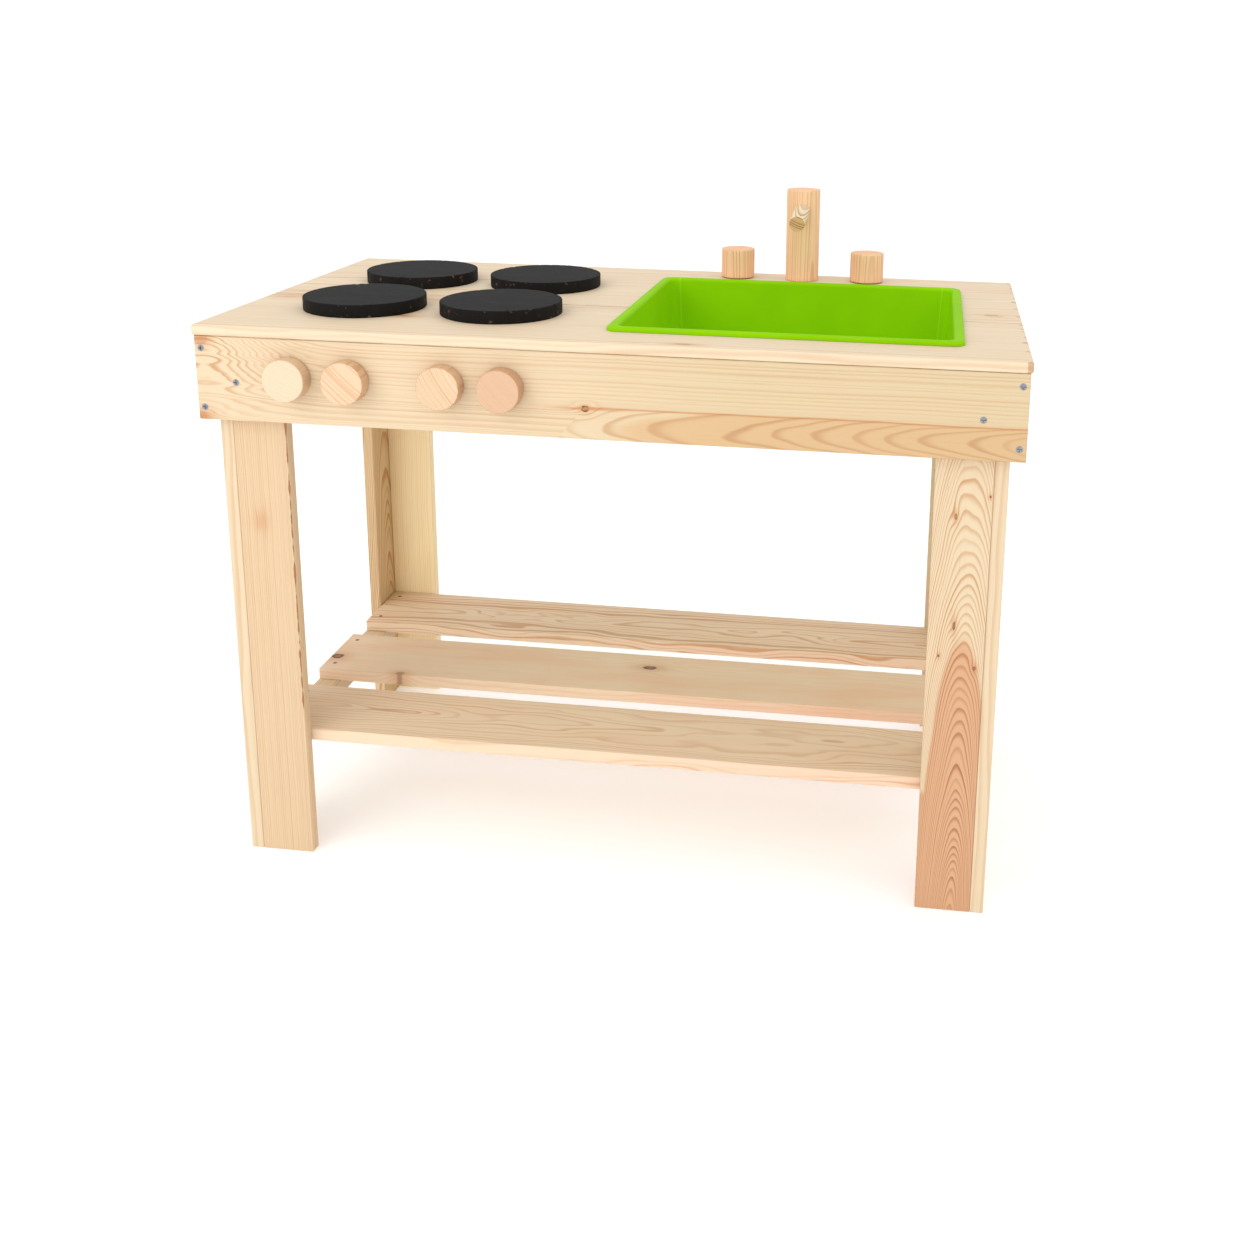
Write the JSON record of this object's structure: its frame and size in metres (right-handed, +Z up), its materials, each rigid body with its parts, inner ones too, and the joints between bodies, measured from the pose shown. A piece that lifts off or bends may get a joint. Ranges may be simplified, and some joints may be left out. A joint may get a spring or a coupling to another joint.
{
  "type": "toy kitchen",
  "caption": "Low plank play kitchen with round black hobs, turning wooden knobs, a dowel tap and a drop-in basin over a slatted shelf.",
  "frame": {"origin": "under the middle of the outer box, on the floor that the legs stand on", "axes": "+Z up, the knobs and the front apron face -Y, +X runs along the worktop to the basin's side"},
  "size_m": [0.904, 0.4862, 0.766],
  "materials": {
    "pine_worktop": "sanded, unfinished pine, sawn flat",
    "pine_apron": "sanded, unfinished pine with knots and arched grain",
    "pine_leg": "sanded, unfinished pine with sapwood edges",
    "pine_shelf": "sanded, unfinished pine",
    "pine_batten": "sawn pine",
    "black_hob": "matt black painted wood, with specks of dust",
    "beech_knob": "turned hardwood, sanded",
    "beech_tap": "turned hardwood dowel, sanded",
    "lime_plastic": "satin lime green moulded plastic",
    "zinc_screw": "bright zinc plate",
    "zinc_washer": "bright zinc plate",
    "bright_nail": "plain steel wire"
  },
  "bodies": {
    "frame": {"back_left_leg_face": "pine_leg", "back_left_leg_side": "pine_leg", "back_right_leg_face": "pine_leg", "back_right_leg_side": "pine_leg", "front_apron": "pine_apron", "front_corner_screws": "zinc_screw", "front_left_leg_face": "pine_leg", "front_left_leg_side": "pine_leg", "front_leg_screws": "zinc_screw", "front_right_leg_face": "pine_leg", "front_right_leg_side": "pine_leg", "hob_back_left": "black_hob", "hob_back_right": "black_hob", "hob_front_left": "black_hob", "hob_front_right": "black_hob", "hob_screws": "zinc_screw", "left_apron": "pine_apron", "leg_joint_screws": "zinc_screw", "rear_apron": "pine_apron", "rear_corner_screws": "zinc_screw", "rear_leg_screws": "zinc_screw", "right_apron": "pine_apron", "shelf_batten_left": "pine_batten", "shelf_batten_right": "pine_batten", "shelf_batten_screws": "zinc_screw", "shelf_nails": "bright_nail", "shelf_plank_front": "pine_shelf", "shelf_plank_middle": "pine_shelf", "shelf_plank_rear": "pine_shelf", "side_apron_screws": "zinc_screw", "tap_post": "beech_tap", "tap_post_screws": "zinc_screw", "tap_spout": "beech_tap", "top_batten_left": "pine_batten", "top_batten_middle": "pine_batten", "top_batten_right": "pine_batten", "top_batten_screws": "zinc_screw", "worktop_front_board": "pine_worktop", "worktop_rear_board": "pine_worktop", "worktop_screws": "zinc_screw"},
    "knob_1_body": {"knob_1": "beech_knob", "knob_1_screw": "zinc_screw", "knob_1_washer": "zinc_washer"},
    "knob_2_body": {"knob_2": "beech_knob", "knob_2_screw": "zinc_screw", "knob_2_washer": "zinc_washer"},
    "knob_3_body": {"knob_3": "beech_knob", "knob_3_screw": "zinc_screw", "knob_3_washer": "zinc_washer"},
    "knob_4_body": {"knob_4": "beech_knob", "knob_4_screw": "zinc_screw", "knob_4_washer": "zinc_washer"},
    "tap_handle_left_body": {"tap_handle_left": "beech_tap", "tap_handle_left_screw": "zinc_screw", "tap_handle_left_washer": "zinc_washer"},
    "tap_handle_right_body": {"tap_handle_right": "beech_tap", "tap_handle_right_screw": "zinc_screw", "tap_handle_right_washer": "zinc_washer"},
    "basin_body": {"basin": "lime_plastic"}
  },
  "joints": [
    {"name": "knob_1_turn", "type": "hinge", "parent": "frame", "child": "knob_1_body", "pos_m": [-0.3415, -0.2239, 0.5905], "axis": [0, -1, 0], "continuous": true},
    {"name": "knob_2_turn", "type": "hinge", "parent": "frame", "child": "knob_2_body", "pos_m": [-0.2755, -0.2239, 0.5905], "axis": [0, -1, 0], "continuous": true},
    {"name": "knob_3_turn", "type": "hinge", "parent": "frame", "child": "knob_3_body", "pos_m": [-0.1695, -0.2239, 0.5905], "axis": [0, -1, 0], "continuous": true},
    {"name": "knob_4_turn", "type": "hinge", "parent": "frame", "child": "knob_4_body", "pos_m": [-0.1035, -0.2239, 0.5905], "axis": [0, -1, 0], "continuous": true},
    {"name": "tap_handle_left_turn", "type": "hinge", "parent": "frame", "child": "tap_handle_left_body", "pos_m": [0.0865, 0.2061, 0.645], "axis": [0, 0, 1], "continuous": true},
    {"name": "tap_handle_right_turn", "type": "hinge", "parent": "frame", "child": "tap_handle_right_body", "pos_m": [0.2595, 0.2061, 0.645], "axis": [0, 0, 1], "continuous": true},
    {"name": "basin_lift", "type": "slide", "parent": "frame", "child": "basin_body", "axis": [0, 0, 1], "range_m": [0, 0.07]}
  ]
}
